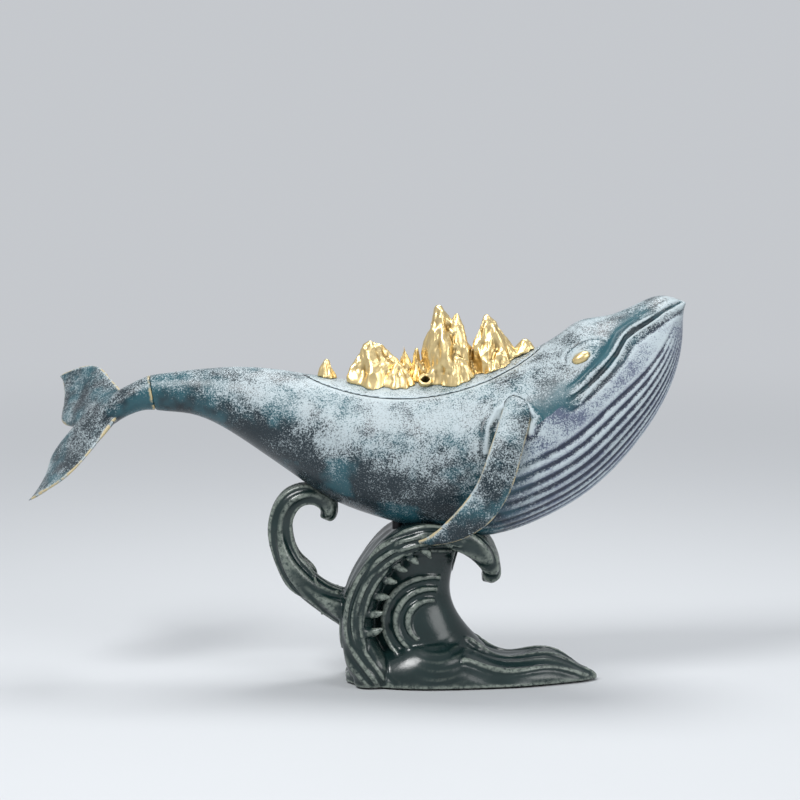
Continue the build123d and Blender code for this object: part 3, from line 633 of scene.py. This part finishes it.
# Pads and eyes
PAD_SMOOTH = 3
PAD_NAP_LUMPS = 900
PAD_NAP_HEIGHT = 0.00012
EYE_SMOOTH = 2
EYE_TONE = 0.6


def soft_copy(name):
    """Pad with rounded edges and an uneven nap."""
    piece = carved_copy(name, SOFT_CELL, PAD_SMOOTH)
    nap = [noise.noise(Vector(p) * PAD_NAP_LUMPS) for p in points_of(piece)]
    push(piece, np.array(nap) * PAD_NAP_HEIGHT)
    return piece


def eye_copy(name):
    """Eye in an even gold."""
    piece = carved_copy(name, EYE_CELL, EYE_SMOOTH)
    store(piece, "ridge", np.full(len(piece.data.vertices), EYE_TONE))
    return piece


def place_piece(piece, name, body, mat):
    """Hang a piece on its body, in place of its CAD node."""
    piece.data.materials.append(mat)
    for face in piece.data.polygons:
        face.use_smooth = True
    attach(piece, body)
    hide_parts(name)


def paint_node(name, mat):
    """Material on a CAD node that keeps its own mesh."""
    NODES[name].data.materials.clear()
    NODES[name].data.materials.append(mat)


def dress():
    """Carved and painted pieces on both bodies."""
    skin, water, gold = skin_material(), water_material(), gold_material()
    body = carved_copy("whale_body", SKIN_CELL)
    carve_face(body)
    paint_skin(body)
    place_piece(body, "whale_body", "whale", skin)
    lid = carved_copy("back_lid", SKIN_CELL)
    paint_skin(lid)
    place_piece(lid, "back_lid", "lid", skin)
    for name, lift in FIN_LIFTS.items():
        place_piece(carve_fin(name, lift), name, "whale", skin)
    for name in ("mountain_range", "islet_peak"):
        place_piece(carve_rock(name), name, "lid", gold)
    place_piece(carve_water("wave_base"), "wave_base", "whale", water)
    for name in ("right_eye", "left_eye"):
        place_piece(eye_copy(name), name, "whale", gold)
    felt = fibre_material("felt", FELT, FELT_NAP)
    place_piece(soft_copy("felt_pad"), "felt_pad", "whale", felt)
    fibre = fibre_material("fibre", FIBRE, FIBRE_NAP)
    place_piece(soft_copy("fibre_pad"), "fibre_pad", "whale", fibre)
    # Dowels in near-black steel, so that they show as painted shade in the gap between the whale and the
    # wave
    steel = steel_material("dowel_steel", DOWEL_SHADE_STEEL)
    for name in NODES:
        if name.endswith("_dowel"):
            paint_node(name, steel)
    paint_node("burner_tray", steel_material("tray_steel", STEEL))


# Studio: lengths in metres, lamps as place, size and power

FLOOR_RADIUS = 8.0
FLOOR_TURN = 64
FLOOR_FADE = (0.3, 1.5)
FLOOR_NOISE = 3.0
FLOOR_DARK_SHARE = 0.97
FLOOR_ROUGHNESS = 0.75
BACKDROP = (0.56, 0.58, 0.61)
WORLD_LIGHT = (0.80, 0.84, 0.90)
WORLD_STRENGTH = 0.35
CAMERA_TARGET = Vector((-0.0412, 0.0, 0.1673))
CAMERA_ELEVATION = math.radians(8.0)
CAMERA_DISTANCE = 2.4
VIEW_WIDTH = 0.470
LAMPS = {
    "key_light": ((-0.7, -0.9, 1.3), 0.6, 17.0),
    "fill_light": ((1.1, -1.0, 0.7), 0.9, 8.0),
    "top_light": ((0.1, 0.35, 1.3), 0.7, 10.0),
}


def seen_rays(tree):
    """1 for what is seen straight, in a gloss or through glass, and 0 for light on the object."""
    path = node(tree, "ShaderNodeLightPath").outputs
    seen = math_of(tree, "MAXIMUM", path["Is Camera Ray"], path["Is Glossy Ray"])
    return math_of(tree, "MAXIMUM", seen, path["Is Transmission Ray"])


def floor():
    """Round floor that fades into the plain backdrop."""
    turns = [2 * math.pi * i / FLOOR_TURN for i in range(FLOOR_TURN)]
    mesh = bpy.data.meshes.new("studio_floor")
    rim = [(FLOOR_RADIUS * math.cos(t), FLOOR_RADIUS * math.sin(t), 0.0) for t in turns]
    mesh.from_pydata(rim, [], [tuple(range(FLOOR_TURN))])
    disc = bpy.data.objects.new("studio_floor", mesh)
    bpy.context.scene.collection.objects.link(disc)
    mat, tree, shader = material("studio_floor")
    dark = tuple(c * FLOOR_DARK_SHARE for c in FLOOR)
    tone = mix_of(tree, noise_of(tree, FLOOR_NOISE), dark, FLOOR)
    tree.links.new(tone, shader.inputs["Base Color"])
    shader.inputs["Roughness"].default_value = FLOOR_ROUGHNESS
    away = node(tree, "ShaderNodeVectorMath", operation="LENGTH")
    tree.links.new(node(tree, "ShaderNodeTexCoord").outputs["Object"], away.inputs[0])
    far = step_of(tree, away.outputs["Value"], *FLOOR_FADE)
    fade = math_of(tree, "MULTIPLY", far, seen_rays(tree))
    glow = node(tree, "ShaderNodeEmission", Color=(*BACKDROP, 1.0))
    mixed = node(tree, "ShaderNodeMixShader")
    tree.links.new(fade, mixed.inputs["Fac"])
    tree.links.new(shader.outputs["BSDF"], mixed.inputs[1])
    tree.links.new(glow.outputs["Emission"], mixed.inputs[2])
    tree.links.new(mixed.outputs["Shader"], tree.nodes["Material Output"].inputs["Surface"])
    mesh.materials.append(mat)


def daylight():
    """Even light from all sides, with the backdrop's colour where it is seen."""
    world = bpy.data.worlds.new("studio_world")
    bpy.context.scene.world = world
    world.use_nodes = True
    tree = world.node_tree
    back = tree.nodes["Background"]
    back.inputs["Color"].default_value = (*WORLD_LIGHT, 1.0)
    back.inputs["Strength"].default_value = WORLD_STRENGTH
    plain = node(tree, "ShaderNodeBackground", Color=(*BACKDROP, 1.0))
    mixed = node(tree, "ShaderNodeMixShader")
    tree.links.new(seen_rays(tree), mixed.inputs["Fac"])
    tree.links.new(back.outputs["Background"], mixed.inputs[1])
    tree.links.new(plain.outputs["Background"], mixed.inputs[2])
    tree.links.new(mixed.outputs["Shader"], tree.nodes["World Output"].inputs["Surface"])


def area_light(name, place, size, power):
    """Soft lamp that looks at the middle of the figurine."""
    lamp = bpy.data.lights.new(name, "AREA")
    lamp.size = size
    lamp.energy = power
    lamp.shape = "DISK"
    new = bpy.data.objects.new(name, lamp)
    new.location = place
    new.rotation_euler = (CAMERA_TARGET - Vector(place)).to_track_quat("-Z", "Y").to_euler()
    bpy.context.scene.collection.objects.link(new)


def studio():
    """Floor, lights and the camera at the photograph's angle."""
    floor()
    daylight()
    for name, (place, size, power) in LAMPS.items():
        area_light(name, place, size, power)
    lens = bpy.data.cameras.new("photo_camera")
    lens.lens = lens.sensor_width * CAMERA_DISTANCE / VIEW_WIDTH
    camera = bpy.data.objects.new("photo_camera", lens)
    away = Vector((0.0, -math.cos(CAMERA_ELEVATION), math.sin(CAMERA_ELEVATION)))
    camera.location = CAMERA_TARGET + away * CAMERA_DISTANCE
    camera.rotation_euler = (-away).to_track_quat("-Z", "Y").to_euler()
    bpy.context.scene.collection.objects.link(camera)
    bpy.context.scene.camera = camera
    bpy.context.scene.view_settings.view_transform = "Standard"


dress()
studio()
